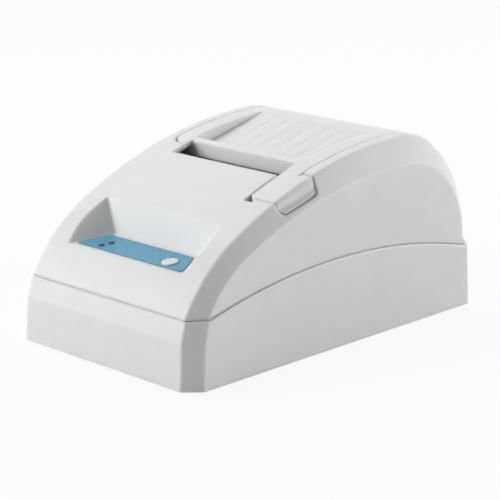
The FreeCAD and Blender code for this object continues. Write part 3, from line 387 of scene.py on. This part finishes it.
# %% [markdown]
# ## Film, button and lenses
#
# The strip in the control recess is a printed film, smoother than the casing round it. The button
# is a satin cap, and the two lamps are small dark lenses that look nearly black while unlit. One
# glossy paint could serve all three, but they catch the light differently, so each has its own
# range of gloss.


# %% Film, button and lenses
def printed_film(name, colour):
    """A flat printed film with a faint orange-peel skin."""
    f = Finish(name)
    slow = f.spread(f.noise(7.0), 0.0, 1.0)
    f.colour(f.blend(slow, shade(colour, 0.95), shade(colour, 1.05)))
    f.rough(f.spread(f.noise(0.8, 3.0), 0.24, 0.36))
    f.bump(f.noise(0.5, 2.0), 0.004)
    return f.material


def satin_cap(name, colour):
    """A smooth button cap, lighter along its rim as a painted highlight."""
    f = Finish(name)
    # The rim is lighter in colour: a painted highlight.
    f.colour(f.blend(f.edges(0.3), colour, shade(colour, 1.05)))
    f.rough(f.spread(f.noise(2.0, 3.0), 0.26, 0.36))
    f.bump(f.noise(0.4, 2.0), 0.003)
    return f.material


def tinted_lens(name, colour):
    """A dark lens that lets some light in."""
    f = Finish(name)
    slow = f.spread(f.noise(1.2), 0.0, 1.0)
    f.colour(f.blend(slow, shade(colour, 0.9), shade(colour, 1.1)))
    f.rough(f.spread(f.noise(0.6), 0.08, 0.16))
    f.set(Transmission_Weight=0.35, IOR=1.49)
    return f.material


blue_overlay = printed_film("blue_overlay", (0.045, 0.32, 0.50))
button_white = satin_cap("button_white", (0.84, 0.85, 0.84))
lens_green = tinted_lens("lens_green", (0.03, 0.10, 0.05))
lens_red = tinted_lens("lens_red", (0.12, 0.03, 0.025))
front_finishes = [blue_overlay, button_white, lens_green, lens_red]
print("front finishes", [m.name for m in front_finishes])

# %% [markdown]
# ## Metals
#
# Inside, the metal pieces are ground, plated or extruded, and each process leaves its own marks:
# long scratches on the tear bar, fine crystals in the zinc, drawn lines along the heat sink. An
# anisotropic shader could suggest them, but stretched noise shows the lines themselves.


# %% Metals
def metal(name, colour, gloss, stretch, line_mm=0.12):
    """Bare or plated metal whose scratches run the way that stretch is longest."""
    f = Finish(name)
    lines = f.noise(line_mm, 3.0, stretch)
    f.colour(f.blend(f.spread(lines, 0.0, 1.0), shade(colour, 0.9), shade(colour, 1.06)))
    f.rough(f.spread(f.noise(2.5, 4.0), gloss - 0.06, gloss + 0.08))
    f.bump(lines, 0.004)
    f.set(Metallic=1.0)
    return f.material


steel = metal("steel", (0.60, 0.60, 0.61), 0.28, (30, 1, 1))
zinc = metal("zinc", (0.64, 0.63, 0.60), 0.38, (1, 1, 1), 0.6)
aluminium = metal("aluminium", (0.74, 0.75, 0.76), 0.36, (40, 1, 1), 0.2)
brass = metal("brass", (0.74, 0.56, 0.26), 0.3, (1, 1, 1), 0.4)
metals = [steel, zinc, aluminium, brass]
print("metals", [m.name for m in metals])

# %% [markdown]
# ## Rubber, ceramic and board
#
# The roller's rubber is ground to size and stays matt. The head strip is glazed ceramic, and the
# boards are green with copper runs under their lacquer. The runs could be modelled one by one, but
# they are flat and hidden inside, so a brick pattern's joints stand for them.


# %% Rubber, ceramic and board
def ground_rubber(name, colour):
    """Matt rubber with the fine marks of the grinding wheel."""
    f = Finish(name)
    slow = f.spread(f.noise(1.5, 3.0), 0.0, 1.0)
    f.colour(f.blend(slow, shade(colour, 0.8), shade(colour, 1.3)))
    f.rough(f.spread(f.noise(0.8, 3.0), 0.62, 0.8))
    f.bump(f.noise(0.18, 3.0), 0.012)
    return f.material


def glazed_ceramic(name, colour):
    """Smooth pale ceramic under a glaze."""
    f = Finish(name)
    slow = f.spread(f.noise(0.7), 0.0, 1.0)
    f.colour(f.blend(slow, shade(colour, 0.96), shade(colour, 1.02)))
    f.rough(f.spread(f.noise(2.0), 0.1, 0.2))
    f.bump(f.noise(0.3), 0.001)
    return f.material


def solder_mask(name, colour, cell_mm=9.0, run_share=0.012):
    """Green circuit board, with the copper runs under the mask a shade lighter."""
    f = Finish(name)
    cells = f.tree.nodes.new("ShaderNodeTexBrick")
    cells.inputs["Scale"].default_value = 1 / (cell_mm * MM)
    cells.inputs["Mortar Size"].default_value = run_share
    f.link(f.coords, cells.inputs["Vector"])
    f.colour(f.blend(cells.outputs["Fac"], colour, shade(colour, 1.9)))
    f.rough(f.spread(f.noise(3.0), 0.3, 0.42))
    f.bump(f.noise(0.3), 0.004)
    return f.material


rubber = ground_rubber("rubber", (0.026, 0.026, 0.027))
ceramic = glazed_ceramic("ceramic", (0.82, 0.80, 0.74))
board_green = solder_mask("board_green", (0.018, 0.13, 0.055))
inner_finishes = [rubber, ceramic, board_green]
print("inner finishes", [m.name for m in inner_finishes])

# %% [markdown]
# ## Dressing the solids
#
# Each solid already says which material it is made of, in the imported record. The finishes could be
# handed out piece by piece, but one loop over the record leaves none bare and keeps the record and
# the picture in step.

# %% Give each solid its finish
all_finishes = plastics + front_finishes + metals + inner_finishes
finishes = {m.name.replace("_finish", ""): m for m in all_finishes}
for part in frame["record"]["subparts"]:
    piece = nodes[part["node"]]
    piece.data.materials.clear()
    piece.data.materials.append(finishes[part["material_slot"]])
print("dressed", len(nodes), "solids")

# %% [markdown]
# ## Marks on the power rocker
#
# A power rocker carries the bar and the ring that stand for on and off, pad printed in white ink on
# its two pads. They could be drawn by a texture, but the pads are tilted and small, so thin shapes
# laid on each pad stay sharp from close by and tip with the rocker. Each pad's place and tilt is
# read from the solid's own faces.


# %% Find the rocker's pads
def pads_facing(piece, way, count, facing=0.9):
    """Middle and normal of the largest flat pads of a solid that face a way, lowest first."""
    pads = {}
    for face in piece.data.polygons:
        if face.normal.dot(way) > facing:
            pads.setdefault(tuple(round(c, 2) for c in face.normal), []).append(face)
    largest = sorted(pads.values(), key=lambda faces: -sum(f.area for f in faces))[:count]
    found = []
    for faces in largest:
        area = sum(f.area for f in faces)
        centre = sum((f.center * f.area for f in faces), Vector()) / area
        found.append((centre, faces[0].normal.copy()))
    return sorted(found, key=lambda pad: pad[0].z)


lower_pad, upper_pad = pads_facing(nodes["power_rocker"], Vector((0, 1, 0)), 2)
for pad_name, (centre, _) in (("lower", lower_pad), ("upper", upper_pad)):
    print(pad_name, "rocker pad at", [round(c / MM, 1) for c in centre], "mm")

# %% [markdown]
# ## Ink with a thickness
#
# Pad printing leaves a film of ink that just stands proud. A flat outline would flicker where it
# meets the pad, so each mark is a thin closed shape whose underside lies a little inside the pad.


# %% A closed shape from outlines
def ink_mesh(name, outer, inner, pad, sunk_mm=0.02, proud_mm=0.06):
    """A flat mark on a pad, from a closed outline and an inner outline to cut out, if given."""
    centre, up = pad
    across = Vector((1, 0, 0))
    along = up.cross(across).normalized()
    mesh = bmesh.new()
    layers = []
    for height in (-sunk_mm, proud_mm):
        lift = centre + up * (height * MM)
        layers.append([[mesh.verts.new(lift + across * (u * MM) + along * (v * MM))
                        for u, v in loop] for loop in (outer, inner) if loop])
    for below, above in zip(*layers):
        for k in range(len(below)):
            n = (k + 1) % len(below)
            mesh.faces.new((below[k], below[n], above[n], above[k]))
    for layer in layers:
        if inner:
            for k in range(len(outer)):
                n = (k + 1) % len(outer)
                mesh.faces.new((layer[0][k], layer[0][n], layer[1][n], layer[1][k]))
        else:
            mesh.faces.new(layer[0])
    bmesh.ops.recalc_face_normals(mesh, faces=mesh.faces)
    data = bpy.data.meshes.new(name)
    mesh.to_mesh(data)
    mesh.free()
    return data


print("ink shapes ready")

# %% [markdown]
# ## The bar and the ring
#
# The bar has round ends, as a printed stroke has, and the ring's stroke is about as wide. Both
# take the button's white finish, and both ride on the rocker, so they tip with it.


# %% Print the bar and the ring
def ring_points(radius, steps=48):
    """A circle round the pad's middle."""
    turns = [2 * math.pi * k / steps for k in range(steps)]
    return [(radius * math.cos(turn), radius * math.sin(turn)) for turn in turns]


def bar_points(half_length, half_width, steps=10):
    """A bar with round ends, upright on its pad."""
    points = []
    for side in (1, -1):
        for k in range(steps + 1):
            turn = math.pi * k / steps
            points.append((side * half_width * math.cos(turn),
                           side * (half_length + half_width * math.sin(turn))))
    return points


def print_mark(name, outer, inner, pad):
    """Puts a mark of white ink on a pad of the rocker."""
    mark = bpy.data.objects.new(name, ink_mesh(name, outer, inner, pad))
    bpy.context.scene.collection.objects.link(mark)
    mark.data.materials.append(button_white)
    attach(mark, "rocker")
    return mark


on_bar = print_mark("rocker_on_bar", bar_points(1.2, 0.28), None, upper_pad)
off_ring = print_mark("rocker_off_ring", ring_points(1.45), ring_points(0.95), lower_pad)
print("marks", on_bar.name, off_ring.name)

# %% [markdown]
# ## The head springs
#
# Two wound springs push the print head against the roller, and get a little shorter when the head
# tips back. A bone or a lattice could bend them, but a spring only shortens along its own axis.
# Here the coils are a copy with a mesh of its own, carried with the casing.

# %% Copy the head springs
springs = bpy.data.objects.new("head_spring_coils", nodes["head_springs"].data.copy())
bpy.context.scene.collection.objects.link(springs)
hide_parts("head_springs")
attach(springs, "casing")
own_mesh(springs)

# %% [markdown]
# ## The end
#
# The dress must not make the printer larger than its solids.

# %% Finish
print("finished")
